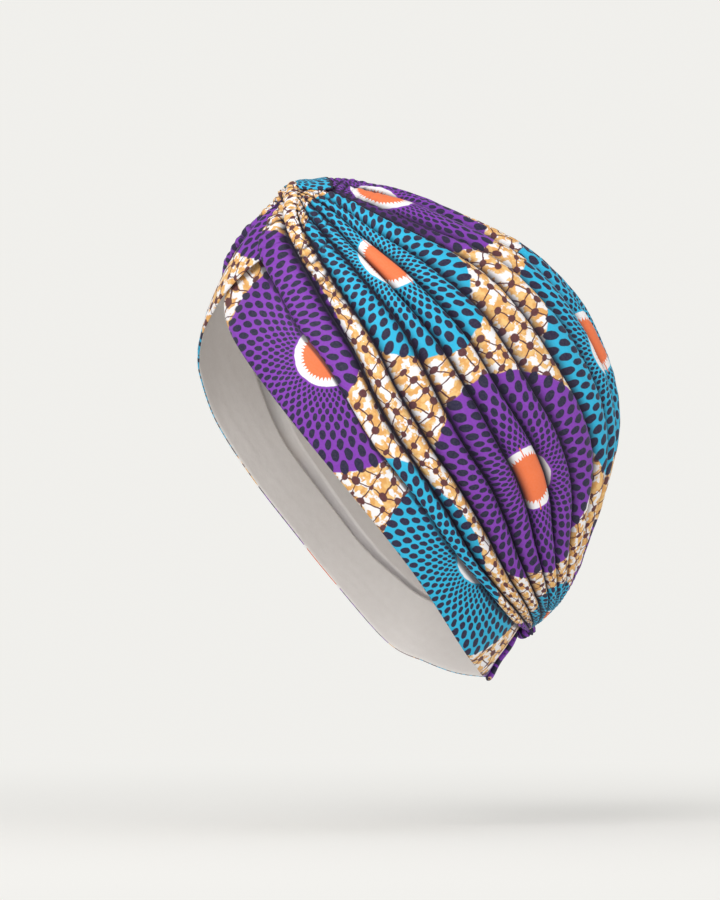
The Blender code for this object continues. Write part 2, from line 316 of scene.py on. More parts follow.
# Painted shade darkens the flap between these shares of the way down, by this much, and it is
# crumpled this deep.
FLAP_EDGE = (0.93, 0.985)
FLAP_DARK = 0.95
FLAP_CRUMPLE = 0.35
# Where the flap's print starts, with its cloth to a millimetre of profile and to a degree.
FLAP_START = np.array([152.0, 0.0])
FLAP_CLOTH = (0.95, 0.42)

# The bunched strip that comes down from the knot over the ends of the side pleats.
ROLL_PATH = np.array([
    # along, crownward, side, half width, rise
    (-3.6, 2.4, 2.2, 2.4, 0.6),
    (-2.4, 0.6, 5.8, 3.2, 0.7),
    (0.2, -3.2, 10.4, 3.7, 0.5),
    (3.0, -8.6, 18.6, 3.9, 0.3),
    (6.5, -14.4, 26.4, 3.9, 0.1),
    (11.0, -18.6, 34.2, 3.8, -0.5),
    (16.0, -21.9, 41.0, 3.6, -1.6),
    (22.0, -23.9, 47.1, 3.2, -3.4),
])
ROLL_ROWS = 110
ROLL_SIDES = 32
ROLL_HEIGHT = 0.68
ROLL_WRINKLE = 4.2
ROLL_PINCH = 0.16
# How far its wrinkles bend round it, and how far they stray over which length.
ROLL_BEND = 1.6
ROLL_STRAY = (0.9, 4.0)
ROLL_CLOTH = 1.3
ROLL_PATCH = np.array([26.0, 69.0])

# The camera, and the way in which the line from the knot to the nape runs in its picture.
CAMERA_TURN = math.radians(70.0)
TARGET = np.array([12.8, 5.2, -142.8])
CAMERA_DISTANCE = 4.0
PICTURE_HEIGHT = 0.4815
SENSOR = 36.0
CLIP_END = 60.0
SEEN_DOWN = 0.8796
SEEN_RIGHT = 0.4758
SEEN_ALONG = np.array([
    SEEN_RIGHT * math.cos(CAMERA_TURN),
    SEEN_RIGHT * math.sin(CAMERA_TURN),
    -SEEN_DOWN,
])
# Round backdrop, in metres: the floor is lit by the lamps, and past this reach it glows evenly.
FLOOR_Z = -0.346
WALL_RADIUS = 6.0
COVE_RADIUS = 1.2
COVE_STEPS = 12
WALL_HEIGHT = 2.2
WALL_SIDES = 64
GLOW_REACH = (-0.35, 0.9)
FLOOR_COLOUR = (0.81, 0.80, 0.775)
WALL_COLOUR = (0.875, 0.867, 0.838)
LAMPS = [
    # name, turn from the camera, height in degrees, distance, size, power
    ("key", -25.0, 38.0, 2.2, 1.3, 34.0),
    ("fill", 45.0, 15.0, 2.6, 2.2, 14.0),
    ("top", 0.0, 80.0, 2.0, 2.0, 7.0),
]
WORLD_COLOUR = (1.0, 0.99, 0.97, 1.0)
WORLD_STRENGTH = 0.42


def hermite(xs, ys, at):
    """A smooth curve through the points (xs, ys), read at the places in at."""
    xs = np.asarray(xs, float)
    ys = np.asarray(ys, float)
    at = np.clip(at, xs[0], xs[-1])
    steps = np.diff(xs)
    rises = np.diff(ys) / steps
    slopes = np.empty(len(xs))
    slopes[1:-1] = (rises[:-1] * steps[1:] + rises[1:] * steps[:-1]) / (steps[:-1] + steps[1:])
    slopes[0] = rises[0]
    slopes[-1] = rises[-1]
    i = np.clip(np.searchsorted(xs, at, side="right") - 1, 0, len(xs) - 2)
    h = steps[i]
    u = (at - xs[i]) / h
    return (
        ys[i] * (1 + 2 * u) * (1 - u) ** 2
        + slopes[i] * h * u * (1 - u) ** 2
        + ys[i + 1] * u**2 * (3 - 2 * u)
        + slopes[i + 1] * h * u**2 * (u - 1)
    )


def columns(table, at, stations=None):
    """A smooth curve through each column of a table, read at the places in at. Its rows lie at the
    stations, or one apart."""
    stations = np.arange(len(table)) if stations is None else stations
    return [hermite(stations, table[:, k], at) for k in range(table.shape[1])]


def unit(vectors):
    return vectors / np.linalg.norm(vectors, axis=-1, keepdims=True)


def arcs(points):
    """Distances along a line of points, from 0 at its first point."""
    steps = np.linalg.norm(np.diff(points, axis=0), axis=-1)
    return np.concatenate([np.zeros((1, *steps.shape[1:])), np.cumsum(steps, axis=0)])


def in_frame(along, crownward, side):
    """World millimetres of points given in the axis frame."""
    along, crownward, side = np.broadcast_arrays(along, crownward, side)
    return (
        KNOT_PLACE
        + along[..., None] * ALONG
        + crownward[..., None] * ACROSS
        + side[..., None] * LEFTWARD
    )


def form(along, turn):
    """The soft form that the pleat tops follow, at a turn in degrees round the axis."""
    crown, side, brow = columns(SECTIONS[:, 1:], along, SECTIONS[:, 0])
    angle = np.radians(turn)
    reach = np.where(np.cos(angle) >= 0, crown, brow)
    return in_frame(along, reach * np.cos(angle), side * np.sin(angle))


def form_normal(along, turn):
    """The direction out of the soft form."""
    step = 0.5
    ahead = form(along + step, turn) - form(along - step, turn)
    round_it = form(along, turn - step) - form(along, turn + step)
    normal = np.cross(ahead, round_it)
    return normal / np.maximum(np.linalg.norm(normal, axis=-1, keepdims=True), 1e-9)


def crease_turn(index, along):
    return hermite(CREASE_STATIONS, PLEATS[index][1], along)


def eased(count, ease):
    """Places from 0 to 1 that lie closer together at both ends."""
    even = np.linspace(0, 1, count)
    return (1 - ease) * even + ease * (1 - np.cos(math.pi * even)) / 2


def wander(places, scale, seed):
    """A smooth uneven value from about -1 to 1 at each place along one line."""
    return np.array([noise.noise(Vector((p / scale, 7.3 * seed, 1.7))) for p in np.ravel(places)])


def uneven(first, second, scale, seed):
    """The same over two grids of coordinates."""
    pairs = zip(np.ravel(first / scale), np.ravel(second / scale))
    values = [noise.noise(Vector((a, b, 3.1 * seed))) for a, b in pairs]
    return np.reshape(values, np.shape(first))


def smooth_step(low, high, value):
    u = np.clip((value - low) / (high - low), 0, 1)
    return u * u * (3 - 2 * u)


def dome(share, power):
    """1 in the middle of a width and 0 at both sides of it."""
    return np.sqrt(np.clip(1 - np.abs(2 * share - 1) ** power, 0, 1))


def placed(name, data):
    """A new object in the scene."""
    obj = bpy.data.objects.new(name, data)
    bpy.context.scene.collection.objects.link(obj)
    return obj


def ring_faces(rows, sides):
    """The faces between rings of points that lie one after another."""
    faces = []
    for low in range(0, (rows - 1) * sides, sides):
        high = low + sides
        for k in range(sides):
            after = (k + 1) % sides
            faces.append((low + k, low + after, high + after, high + k))
    return faces


def tube_faces(rows, sides):
    """The faces of a tube with one face on each end."""
    last = (rows - 1) * sides
    ends = [tuple(range(sides))[::-1], tuple(range(last, last + sides))]
    return ring_faces(rows, sides) + ends


def wall_faces(shape):
    """The faces of a closed wall between two grids of points of this shape, with the points round
    the rim of the first and those after them."""
    count = shape[0] * shape[1]
    at = np.arange(count).reshape(shape)
    outside = np.stack([at[:-1, :-1], at[:-1, 1:], at[1:, 1:], at[1:, :-1]], axis=-1)
    outside = outside.reshape(-1, 4)
    rim = np.concatenate([at[0, :-1], at[:-1, -1], at[-1, :0:-1], at[:0:-1, 0]])
    after = np.roll(rim, -1)
    sides = np.stack([after, rim, rim + count, after + count], axis=-1)
    return np.concatenate([outside, outside[:, ::-1] + count, sides]), rim, after


def closed_wall(name, outer, inner, left_map, right_map, openness, flip, materials):
    """One closed wall between two grids of points. The maps hold the cloth coordinates of each
    face's two sides, so that cloth hidden in a crease is skipped. Openness is 0 deep in a crease
    and 1 where the cloth lies open."""
    faces, rim, after = wall_faces(openness.shape)
    cloth = np.stack([left_map[:-1], right_map[:-1], right_map[1:], left_map[1:]], axis=2)
    cloth = cloth.reshape(-1, 4, 2)
    edge = np.concatenate([left_map, right_map[:, -1:]], axis=1).reshape(-1, 2)
    rim_map = np.stack([edge[after], edge[rim], edge[rim], edge[after]], axis=1)
    maps = np.concatenate([cloth, cloth[:, ::-1], rim_map])
    if flip:
        faces = faces[:, ::-1]
        maps = maps[:, ::-1]
    kinds = np.zeros(len(faces), np.int32)
    kinds[len(cloth) : 2 * len(cloth)] = 1
    points = np.concatenate([outer.reshape(-1, 3), inner.reshape(-1, 3)])
    # Openness drives the painted crease shade; the lining side gets none.
    openness = np.concatenate([openness.ravel(), np.ones(openness.size)])
    return cloth_mesh(name, points, faces.tolist(), maps, openness, materials, kinds)


def cloth_mesh(name, points, faces, maps, openness, materials, kinds):
    """A piece of cloth: its map holds one place on the cloth for every corner of every face."""
    mesh = bpy.data.meshes.new(name)
    mesh.from_pydata((points * MM).tolist(), [], faces)
    layer = mesh.uv_layers.new(name="cloth")
    layer.data.foreach_set("uv", (maps / PERIOD).astype(np.float32).ravel())
    # The openness of each point, from which the printed material paints crease shade.
    shade = mesh.attributes.new("openness", "FLOAT", "POINT")
    shade.data.foreach_set("value", openness.astype(np.float32))
    for material in materials:
        mesh.materials.append(material)
    mesh.polygons.foreach_set("material_index", kinds)
    mesh.shade_smooth()
    mesh.update()
    return placed(name, mesh)


def pleat_height(share, is_first):
    """How full the pleat is across its width, from 0 in a crease to 1 on its top."""
    if is_first:
        return 1 - np.clip((share - FIRST_FLAT) / (1 - FIRST_FLAT), 0, 1) ** FIRST_POWER
    return dome(share, PLEAT_POWER)


def pleat_depths(index, along, share, start, end, seed):
    """How far each point of a pleat lies under the form, for a row of shares across it."""
    width = np.linalg.norm(form(along, start) - form(along, end), axis=-1)
    depth = np.minimum(PLEAT_DEPTH, DEPTH_TO_WIDTH * width)
    fullness = 1 + SWELL_SHARE * wander(along, SWELL_LENGTH, seed + 3 * index)[:, None]
    if PLEATS[index][0] == LOW_PLEAT:
        fullness = fullness * (LOW_HEIGHT + (1 - LOW_HEIGHT) * smooth_step(*LOW_REACH, along))
    height = np.clip(PLEATS[index][2] * fullness, 0, MOST_HEIGHT) * pleat_height(share, index == 0)
    drop = depth * (1 - height)
    if index == 0:
        edge = EDGE_DROP * np.clip(1 - share / EDGE_ROUND, 0, 1) ** 2
        drop = drop + np.minimum(edge, depth)
    return drop, depth


def pleat_noise(from_knot, share, kind, seed):
    """One kind of unevenness over a pleat."""
    strength, width, scale, shift = kind
    return strength * uneven(from_knot, width * share, scale, seed + shift)


def ripples(index, from_knot, share, seed):
    """Small cross wrinkles of a pleat: their height in millimetres, and the painted shade in each
    valley.
    """
    name = PLEATS[index][0]
    from_knot, share = np.broadcast_arrays(from_knot, share)
    seed = seed + index
    near_nape = 1 - smooth_step(*NAPE_WRINKLES, from_knot[-1] - from_knot)
    near_knot = 1 - smooth_step(*KNOT_WRINKLES.get(name, OTHER_KNOT_WRINKLES), from_knot)
    bent = from_knot + WRINKLE_BEND * np.abs(share - 0.5)
    bent = bent + pleat_noise(from_knot, share, WRINKLE_SHIFT, seed)
    level = WRINKLE_LEVEL + pleat_noise(from_knot, share, WRINKLE_SPREAD, seed)
    nape_valley = 1 - np.abs(np.sin(math.pi * bent / NAPE_WRINKLE))
    knot_valley = 1 - np.abs(np.sin(math.pi * bent / KNOT_WRINKLE))
    both = near_nape * nape_valley + near_knot * knot_valley
    valley = np.clip(level, 0, WRINKLE_MOST) * both
    rumple = pleat_noise(from_knot, share, RUMPLE, seed)
    rumple = (RUMPLE_DEPTH + RUMPLE_AT_KNOT * near_knot) * rumple
    return rumple - WRINKLE_DEPTH * valley, WRINKLE_SHADE * np.clip(valley, 0, 1) ** 1.6


def pleat_cloth(index, surface, along):
    """The cloth coordinates of a pleat's points: along the pleat and across it."""
    name = PLEATS[index][0]
    left_knot, right_knot, left_nape, right_nape, knot_row, nape_row = PLEAT_PRINT[name]
    middle = surface[:, surface.shape[1] // 2]
    arc = arcs(middle)
    seen = seen_places(middle)
    first = np.interp(knot_row, seen, arc)
    second = np.interp(nape_row, seen, arc)
    down = PERIOD * (arc - first) / (second - first)
    into_gather = np.clip(arc - (arc[-1] - BUNCH_REACH), 0, None) / BUNCH_REACH
    out_of_gather = np.clip(KNOT_REACH - arc, 0, None) / KNOT_REACH
    drawn_at_knot = 0.0 if name in PLAIN_AT_KNOT else KNOT_EXTRA
    down = down + BUNCH_EXTRA * into_gather**2 - drawn_at_knot * out_of_gather**2
    nearness = np.clip((along[:, 0] - KNOT_STATION) / (NAPE_STATION - KNOT_STATION), 0, 1)
    left = left_knot + (left_nape - left_knot) * nearness
    right = right_knot + (right_nape - right_knot) * nearness
    if name in PLAIN_AT_KNOT:
        pull = 1 - KNOT_PULL * (1 - smooth_step(*PULL_REACH, along[:, 0]))
        left = PERIOD + (left - PERIOD) * pull
        right = PERIOD + (right - PERIOD) * pull
    across = arcs(np.swapaxes(surface, 0, 1)).T
    at_left = across[:, 1:2]
    at_right = across[:, -2:-1]
    spread = (across - at_left) / np.maximum(at_right - at_left, 1e-6)
    spread = np.clip(spread, -EDGE_SPILL, 1 + EDGE_SPILL)
    across = left[:, None] + spread * (right - left)[:, None]
    return np.stack([np.broadcast_to(down[:, None], across.shape), across], axis=-1)


def seen_places(points):
    """How far down the line from the knot to the nape the camera sees each point of a line."""
    seen = (points - KNOT_PLACE) @ SEEN_ALONG
    return np.maximum.accumulate(seen + 1e-6 * np.arange(len(seen)))


def crown_half(name, is_left, seed, materials):
    """One half of the crown: a wall with all its pleats side by side."""
    fine = np.linspace(0, SECTIONS[-1, 0], ARC_STEPS)
    arc = arcs(form(fine, 90.0))
    from_knot = (eased(CROWN_ROWS, ROW_EASE) * arc[-1])[:, None]
    along = np.interp(from_knot, arc, fine)
    share = eased(PLEAT_COLUMNS, COLUMN_EASE)[None, :]
    still = smooth_step(*STILL_AT_KNOT, along) * (1 - smooth_step(*STILL_AT_NAPE, along))
    wobble = [
        CREASE_WOBBLE * wander(along, WOBBLE_LENGTH, seed + 11 * index)[:, None] * still
        for index in range(len(PLEATS))
    ]
    wobble[0] = wobble[0] * FIRST_WOBBLE
    wobble[-1] = wobble[-1] * 0.0
    pleats = []
    for index in range(len(PLEATS) - 1):
        start = crease_turn(index, along) + wobble[index]
        end = crease_turn(index + 1, along) + wobble[index + 1]
        turn = start + share * (end - start)
        drop, depth = pleat_depths(index, along, share, start, end, seed)
        lift, valley_shade = ripples(index, from_knot, share, seed)
        lift = lift * dome(share, 4) * np.minimum(2 * depth / PLEAT_DEPTH, 1)
        normal = form_normal(along, turn)
        surface = form(along, turn) - (drop - lift)[..., None] * normal
        # The first pleat is one free layer, thin at its edge, so the band has room under it.
        wall = INNER_DEPTH
        lowest = np.maximum(depth, drop)
        if index == 0:
            wall = EDGE_WALL + (INNER_DEPTH - EDGE_WALL) * smooth_step(EDGE_ROUND, 0.5, share)
            lowest = drop - lift
        under = form(along, turn) - (lowest + wall)[..., None] * normal
        cloth = pleat_cloth(index, surface, along)
        # How far each point lies out of its crease, for the painted crease shade.
        opened = 1 - np.clip(drop / np.maximum(depth, 0.01), 0, 1)
        if index == 0:
            opened = np.where(share < FIRST_FLAT, FIRST_OPEN, opened)
            cloth[..., 0] += 0.0 if is_left else RIGHT_FIRST_SHIFT
        # Painted shade in the wrinkle valleys lowers the openness.
        opened = np.clip(opened - valley_shade, 0, 1)
        if not is_left:
            cloth = cloth * np.array([1.0, -1.0]) + np.array([0.0, 2 * SEAM_ACROSS])
        used = slice(None) if index == len(PLEATS) - 2 else slice(-1)
        grids = (surface[:, used], under[:, used], cloth[:, :-1], cloth[:, 1:], opened[:, used])
        pleats.append(grids)
    outer, inner, left_map, right_map, openness = (
        np.concatenate(grids, axis=1) for grids in zip(*pleats)
    )
    for grid in (outer, inner):
        grid[..., 0] = np.maximum(grid[..., 0] + SEAM_GAP / 2, SEAM_GAP / 2)
        if not is_left:
            grid[..., 0] *= -1
    return closed_wall(name, outer, inner, left_map, right_map, openness, is_left, materials)


def unrolled(tops, hems):
    """The flat places of a strip's two edges, row by row, with its lengths kept."""

    def third(a, b, from_a, from_b):
        base = b - a
        length = np.linalg.norm(base)
        x = (from_a**2 - from_b**2 + length**2) / (2 * length)
        y = math.sqrt(max(from_a**2 - x**2, 0.0))
        way = base / length
        return a + x * way + y * np.array([way[1], -way[0]])

    flat_tops = [np.zeros(2)]
    flat_hems = [np.array([0.0, -np.linalg.norm(hems[0] - tops[0])])]
    for i in range(1, len(tops)):
        to_top = np.linalg.norm(tops[i] - tops[i - 1])
        to_hem = np.linalg.norm(tops[i] - hems[i - 1])
        top = third(flat_hems[-1], flat_tops[-1], to_hem, to_top)
        to_new = np.linalg.norm(hems[i] - tops[i])
        along_hem = np.linalg.norm(hems[i] - hems[i - 1])
        hem = third(flat_hems[-1], top, along_hem, to_new)
        flat_tops.append(top)
        flat_hems.append(hem)
    return np.array(flat_tops), np.array(flat_hems)


# The medallion centres that the print of a band is laid by: where each lies along the fold, as
# the camera sees it, and how far under the first pleat.
LEFT_CENTRES = ((84.5, 4.3), (225.0, 14.8))
RIGHT_CENTRES = ((20.0, 6.0), (150.0, 20.0))
# How far the print of each band is turned and moved after that, and how large the medallions of
# its even and odd columns are drawn by the stretch of the cloth.
LEFT_LAY = (0.0, np.array([0.0, 0.0]), (1.05, 0.93))
RIGHT_LAY = (math.radians(15.2), np.array([70.7, -6.1]), (1.0, 1.0))
# The front edge of the left band bulges forward this far, over this many rows, and out from the
# head this far below its upper part. The ground ahead of its first medallion is drawn out to this
# share over this reach.
FRONT_BULGE = 5.0
BULGE_ROWS = 30
FRONT_PUSH = 3.6
PUSH_START = 0.3
FRONT_GROUND = 0.45
GROUND_REACH = 25.0


def band(name, table, is_left, centres, lay, bulge, seed, materials):
    """One band: a wall from its edge under the first pleat to the hem."""
    rows = np.linspace(0, len(table) - 1, BAND_ROWS)
    tuck, turn, along, crownward, side, swell, depth = columns(table, rows)
    edge_turn = crease_turn(0, tuck)
    fold = form(tuck, edge_turn)
    turn = turn + edge_turn
    top = form(tuck, turn) - depth[:, None] * form_normal(tuck, turn)
    hem = in_frame(along, crownward, side)
    up = unit(top - hem)
    near_gather = smooth_step(*NAPE_LIFT_REACH, tuck)[:, None]
    top = top + near_gather * (NAPE_LIFT * up - NAPE_SINK * form_normal(tuck, turn))
    if not is_left:
        near_knot = (1 - smooth_step(*KNOT_LIFT_ROWS, rows))[:, None]
        top = top + near_knot * (KNOT_LIFT * up - KNOT_SINK * form_normal(tuck, turn))
    down = hem - top
    out = unit(np.cross(down, np.gradient(0.5 * (top + hem), axis=0)))
    shares = np.linspace(0, 1, BAND_COLUMNS)
    bulges = swell[:, None] * 4 * shares * (1 - shares)
    outer = top[:, None] + shares[:, None] * down[:, None] + bulges[..., None] * out[:, None]
    flat_tops, flat_hems = unrolled(top, hem)
    flat = flat_tops[:, None] + shares[None, :, None] * (flat_hems - flat_tops)[:, None]
    normals = unit(np.cross(np.gradient(outer, axis=1), np.gradient(outer, axis=0)))
    softness, drag = (
        strength * uneven(flat[..., 0], finer * flat[..., 1], scale, seed + shift)
        for (strength, finer, scale), shift in ((BAND_SOFT, 0), (BAND_DRAG, 5))
    )
    calm = np.sin(np.pi * np.clip(shares, 0.02, 0.98))[None, :]
    hem_roll = HEM_ROLL * smooth_step(HEM_ROLL_START, 1.0, shares)[None, :] ** 2
    outer = outer + ((softness + drag) * calm - hem_roll)[..., None] * normals
    ahead = unit(outer[0] - outer[2])
    reach = bulge * np.sin(math.pi * shares**1.5)
    fading = np.clip(1 - np.arange(BAND_ROWS) / BULGE_ROWS, 0, 1) ** 2
    outer = outer + fading[:, None, None] * (reach[:, None] * ahead)[None]
    if is_left:
        below = np.clip((shares - PUSH_START) / (1 - PUSH_START), 0, 1)
        push = FRONT_PUSH * np.sin(math.pi * below)
        outer = outer + (fading[:, None] * push)[..., None] * normals
    wall = BAND_WALL * (1 - HEM_THINNING * smooth_step(HEM_THIN_START, 1.0, shares))
    inner = outer - wall[None, :, None] * normals
    at_nape = tuck > NAPE_START
    for grid in (outer, inner):
        grid[at_nape, :, 0] = np.maximum(grid[at_nape, :, 0], SEAM_GAP / 2)
        if not is_left:
            grid[..., 0] *= -1
    width = np.linalg.norm(down, axis=1)
    hidden = np.linalg.norm(fold - top, axis=1) / width
    cloth = laid_print(flat, fold, hidden, flat_tops, flat_hems, centres, lay)
    if is_left:
        cloth = drawn_front(cloth)
    past_fold = (shares[None, :] - hidden[:, None]) * width[:, None]
    # Painted shadow of the first pleat on the band, near the fold.
    openness = BAND_DARKEST + (1 - BAND_DARKEST) * smooth_step(*BAND_SHADE, past_fold)
    maps = (cloth[:, :-1], cloth[:, 1:])
    return closed_wall(name, outer, inner, *maps, openness, not is_left, materials)


def stretched(places, sizes):
    """The print of stretched cloth: a medallion grows or shrinks, and the ground around gives."""
    cells = np.round(places / PERIOD)
    away = np.abs(places - cells * PERIOD)
    size = np.where(np.mod(cells[..., :1], 2) == 0, sizes[0], sizes[1])
    edge = MEDALLION_RADIUS * size
    near = away / (1 + (size - 1) * (away / edge) ** 2)
    spare = PERIOD / 2 - MEDALLION_RADIUS
    far = MEDALLION_RADIUS + (away - edge) * spare / (PERIOD / 2 - edge)
    return cells * PERIOD + np.sign(places - cells * PERIOD) * np.where(away < edge, near, far)


def drawn_front(places):
    """Ahead of the first medallion the ground is drawn out."""
    radius = np.maximum(np.linalg.norm(places, axis=-1), 1.0)
    ahead = (1 - FRONT_GROUND) * smooth_step(0.0, GROUND_REACH, -places[..., 0])
    outside = np.clip(radius - MEDALLION_RADIUS, 0, None)
    return places * ((radius - ahead * outside) / radius)[..., None]


def laid_print(flat, fold, hidden, flat_tops, flat_hems, centres, lay):
    """Cloth coordinates of a band, turned and placed so that two medallions lie at centres."""
    seen = seen_places(fold)
    rows = np.arange(len(seen))
    places = []
    for where, under in centres:
        row = np.interp(where, seen, rows)
        top = np.array([np.interp(row, rows, flat_tops[:, k]) for k in (0, 1)])
        hem = np.array([np.interp(row, rows, flat_hems[:, k]) for k in (0, 1)])
        share = np.interp(row, rows, hidden)
        places.append(top + share * (hem - top) - under * unit(hem - top))
    step = places[1] - places[0]
    offset = (flat - places[0]) * (PERIOD / np.linalg.norm(step))
    x = offset @ unit(step)
    y = offset @ unit(np.array([-step[1], step[0]]))
    turn, shift, sizes = lay
    x, y = math.cos(turn) * x - math.sin(turn) * y, math.sin(turn) * x + math.cos(turn) * y
    return stretched(np.stack([x, y], axis=-1) + shift, sizes)


def gather(place, patch, seed):
    """A dome of pinched folds that closes the ring where the pleats end. Its print is a patch of
    the cloth around a point."""
    along, outward, (crown, side, brow), rise, root = place
    rings = np.linspace(0, 1, GATHER_RINGS)[:, None]
    turns = np.linspace(0, 2 * math.pi, GATHER_SPOKES, endpoint=False)[None, :]
    swirl = turns + GATHER_SWIRL * rings**2
    reach = np.where(np.cos(turns) >= 0, crown, brow)
    folds = np.abs(np.sin(GATHER_FOLDS / 2 * swirl + GATHER_TWIST * np.sin(swirl + seed)))
    wide = np.cos(rings * math.pi / 2) ** GATHER_ROUND
    lift = np.sin(rings * math.pi / 2)
    pit = GATHER_PIT * smooth_step(PIT_START, 1.0, rings)
    ridge = GATHER_RIDGE * folds * np.sin(np.clip(rings * 1.1 + 0.12, 0, 1) * math.pi)
    swell = 1 + GATHER_SWELL * (folds - 0.5)
    across = wide * swell * reach * np.cos(turns)
    beside = wide * swell * side * np.sin(turns)
    height = (lift - pit) * rise + ridge
    crumple = GATHER_CRUMPLE * uneven(across, beside, CRUMPLE_SIZE, seed)
    top = in_frame(along + outward * (height + crumple * lift), across, beside)
    # Painted shade, darkest at the bottoms of the folds.
    shade = np.clip(GATHER_OPEN[0] + GATHER_OPEN[1] * folds, 0, 1) * np.ones_like(across)
    foot_along = along - outward * root * np.ones_like(turns)
    foot = in_frame(foot_along, GATHER_FOOT * across[:1], GATHER_FOOT * beside[:1])
    middles = np.array([along + outward * 0.45 * rise, along - outward * root])
    ends = in_frame(middles, 0.0 * middles, 0.0 * middles)
    points = np.concatenate([foot.reshape(-1, 3), top[:-1].reshape(-1, 3), ends])
    # Painted shade: the foot ring and the two end points are dark.
    openness = np.concatenate([np.full(GATHER_SPOKES, 0.2), shade[:-1].ravel(), [0.1, 0.1]])
    faces = ring_faces(GATHER_RINGS, GATHER_SPOKES)
    last = (GATHER_RINGS - 1) * GATHER_SPOKES
    peak = last + GATHER_SPOKES
    for k in range(GATHER_SPOKES):
        after = (k + 1) % GATHER_SPOKES
        faces.append((last + k, last + after, peak))
        faces.append((after, k, peak + 1))
    faces = [face if outward > 0 else face[::-1] for face in faces]
    local = points - KNOT_PLACE
    cloth = np.stack([local @ LEFTWARD, local @ ACROSS], axis=-1) * patch[1] + patch[0]
    return points, faces, cloth, openness


def gather_piece(name, parts, materials):
    """One piece from parts that each give points, faces, cloth coordinates and openness."""
    points, cloth, openness = (np.concatenate([part[k] for part in parts]) for k in (0, 2, 3))
    start = 0
    faces = []
    for part in parts:
        faces += [[start + corner for corner in face] for face in part[1]]
        start += len(part[0])
    maps = cloth[[corner for face in faces for corner in face]]
    kinds = np.zeros(len(faces), np.int32)
    return cloth_mesh(name, points, faces, maps, openness, materials, kinds)


def knot_flap():
    """The smooth flap over the upper pleats beside the knot, with a frayed far edge."""
    across = np.linspace(-1, 1, FLAP_COLUMNS)[None, :]
    down = np.linspace(0, 1, FLAP_ROWS)[:, None]
    fray = sum(deep * wander(across * FRAY_SPAN, wide, seed) for deep, wide, seed in FLAP_FRAY)
    end = FLAP_MIDDLE_END + (FLAP_SIDE_END - FLAP_MIDDLE_END) * across**2 + fray[None, :]
    at = down * end
    along, crown, side, half = columns(FLAP_PROFILE, at)
    turn = np.radians(across * half)
    crumple = FLAP_CRUMPLE * uneven(6.0 * at, 22.0 * across + 0 * at, 5.0, 8) * np.sin(np.pi * down)
    top = in_frame(along - crumple, crown * np.cos(turn), side * np.sin(turn))
    normal = unit(np.cross(np.gradient(top, axis=1), np.gradient(top, axis=0)))
    outward = top - in_frame(np.array(FLAP_INSIDE), np.array(0.0), np.array(0.0))
    normal *= np.sign(np.sum(normal * outward, axis=2))[..., None]
    under = top - FLAP_WALL * normal
    faces = wall_faces((FLAP_ROWS, FLAP_COLUMNS))[0].tolist()
    points = np.concatenate([top.reshape(-1, 3), under.reshape(-1, 3)])
    # Painted shade at the flap's far edge.
    edge = (1 - FLAP_DARK * smooth_step(*FLAP_EDGE, down) * np.ones_like(across)).ravel()
    cloth = np.stack([arcs(top) * FLAP_CLOTH[0], np.degrees(turn) * FLAP_CLOTH[1]], axis=-1)
    cloth = cloth.reshape(-1, 2) + FLAP_START
    return points, faces, np.concatenate([cloth, cloth]), np.concatenate([edge, edge])


def knot_roll():
    """The bunched strip beside the knot: a wrinkled roll that sinks into the pleats."""
    at = np.linspace(0, len(ROLL_PATH) - 1, ROLL_ROWS)
    along, crownward, side, half, rise = columns(ROLL_PATH, at)
    line = in_frame(along, crownward, side)
    way = unit(np.gradient(line, axis=0))
    out = line - in_frame(along + ROLL_INSIDE, 0 * along, 0 * along)
    out = unit(out - np.sum(out * way, axis=1, keepdims=True) * way)
    beside = np.cross(way, out)
    arc = arcs(line)[:, None]
    angle = np.linspace(0, 2 * math.pi, ROLL_SIDES, endpoint=False)[None, :]
    bent = arc + ROLL_BEND * np.sin(angle + 0.6)
    bent = bent + ROLL_STRAY[0] * wander(arc, ROLL_STRAY[1], 3)[:, None]
    depth = 0.7 + 0.5 * wander(arc, 3.0, 4)[:, None]
    valley = (1 - np.abs(np.sin(math.pi * bent / ROLL_WRINKLE))) * depth
    closed_ends = np.sqrt(np.clip(1 - (2 * at / at[-1] - 1) ** 10, 0.01, 1))[:, None]
    width = half[:, None] * (1 - ROLL_PINCH * valley) * closed_ends
    points = (
        (line + rise[:, None] * out)[:, None]
        + (width * np.cos(angle))[..., None] * beside[:, None]
        + (ROLL_HEIGHT * width * np.sin(angle))[..., None] * out[:, None]
    )
    faces = tube_faces(ROLL_ROWS, ROLL_SIDES)
    around = (np.mod(angle + math.pi / 2, 2 * math.pi) - math.pi) * half[:, None]
    cloth = np.stack([ROLL_CLOTH * arc + 0 * around, around], axis=-1) + ROLL_PATCH
    # Painted shade: the side of the roll towards the pleats and the valleys of its wrinkles are
    # darker.
    low = smooth_step(-0.35, 0.35, np.sin(angle))
    openness = np.clip(0.25 + 0.75 * low - 0.8 * np.clip(valley, 0, 1) ** 2, 0, 1)
    return points.reshape(-1, 3), faces, cloth.reshape(-1, 2), openness.ravel()


